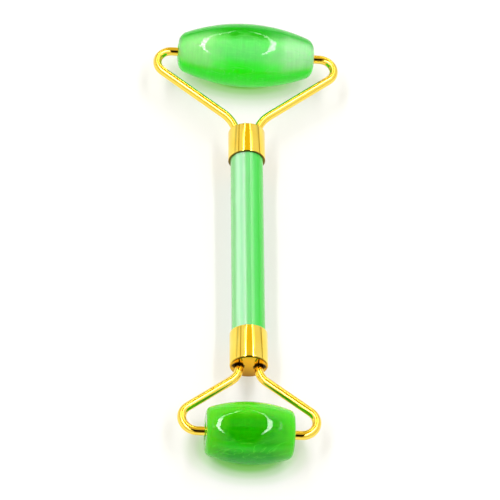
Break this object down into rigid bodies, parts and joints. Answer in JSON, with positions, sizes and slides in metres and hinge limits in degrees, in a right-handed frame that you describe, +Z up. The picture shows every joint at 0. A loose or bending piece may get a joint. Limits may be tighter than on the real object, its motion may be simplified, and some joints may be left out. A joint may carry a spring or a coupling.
{
  "type": "face roller",
  "caption": "Two-ended face roller: green stone barrels turning on gold wire yokes, joined by a straight green stone handle.",
  "frame": {"origin": "middle of the roller's footprint, on the surface it lies on", "axes": "+Y along the handle to the large roller, +X along the roller axles, +Z up"},
  "size_m": [0.0552, 0.15, 0.0189],
  "materials": {
    "handle_stone": "polished, translucent, silky fibres along the handle",
    "large_stone": "polished, translucent, silky pale band",
    "small_stone": "polished, translucent, faint cloudy veins",
    "gold": "polished gold plating",
    "gold_wire": "polished gold plating on round wire",
    "steel": "bright drawn rod",
    "filling": "cast resin",
    "nylon": "smooth natural nylon"
  },
  "bodies": {
    "handle": {"handle_stone": "handle_stone", "handle_rod": "steel", "large_end_cap": "gold", "small_end_cap": "gold", "large_cap_filling": "filling", "small_cap_filling": "filling", "large_yoke_left_arm": "gold_wire", "large_yoke_right_arm": "gold_wire", "small_yoke_left_arm": "gold_wire", "small_yoke_right_arm": "gold_wire"},
    "large_roller": {"large_roller_stone": "large_stone", "large_bush_left": "nylon", "large_bush_right": "nylon"},
    "small_roller": {"small_roller_stone": "small_stone", "small_bush_left": "nylon", "small_bush_right": "nylon"}
  },
  "joints": [
    {"name": "large_roller_spin", "type": "hinge", "parent": "handle", "child": "large_roller", "pos_m": [0, 0.06552, 0.00945], "axis": [1, 0, 0], "continuous": true},
    {"name": "small_roller_spin", "type": "hinge", "parent": "handle", "child": "small_roller", "pos_m": [0, -0.06628, 0.0087], "axis": [1, 0, 0], "continuous": true}
  ]
}
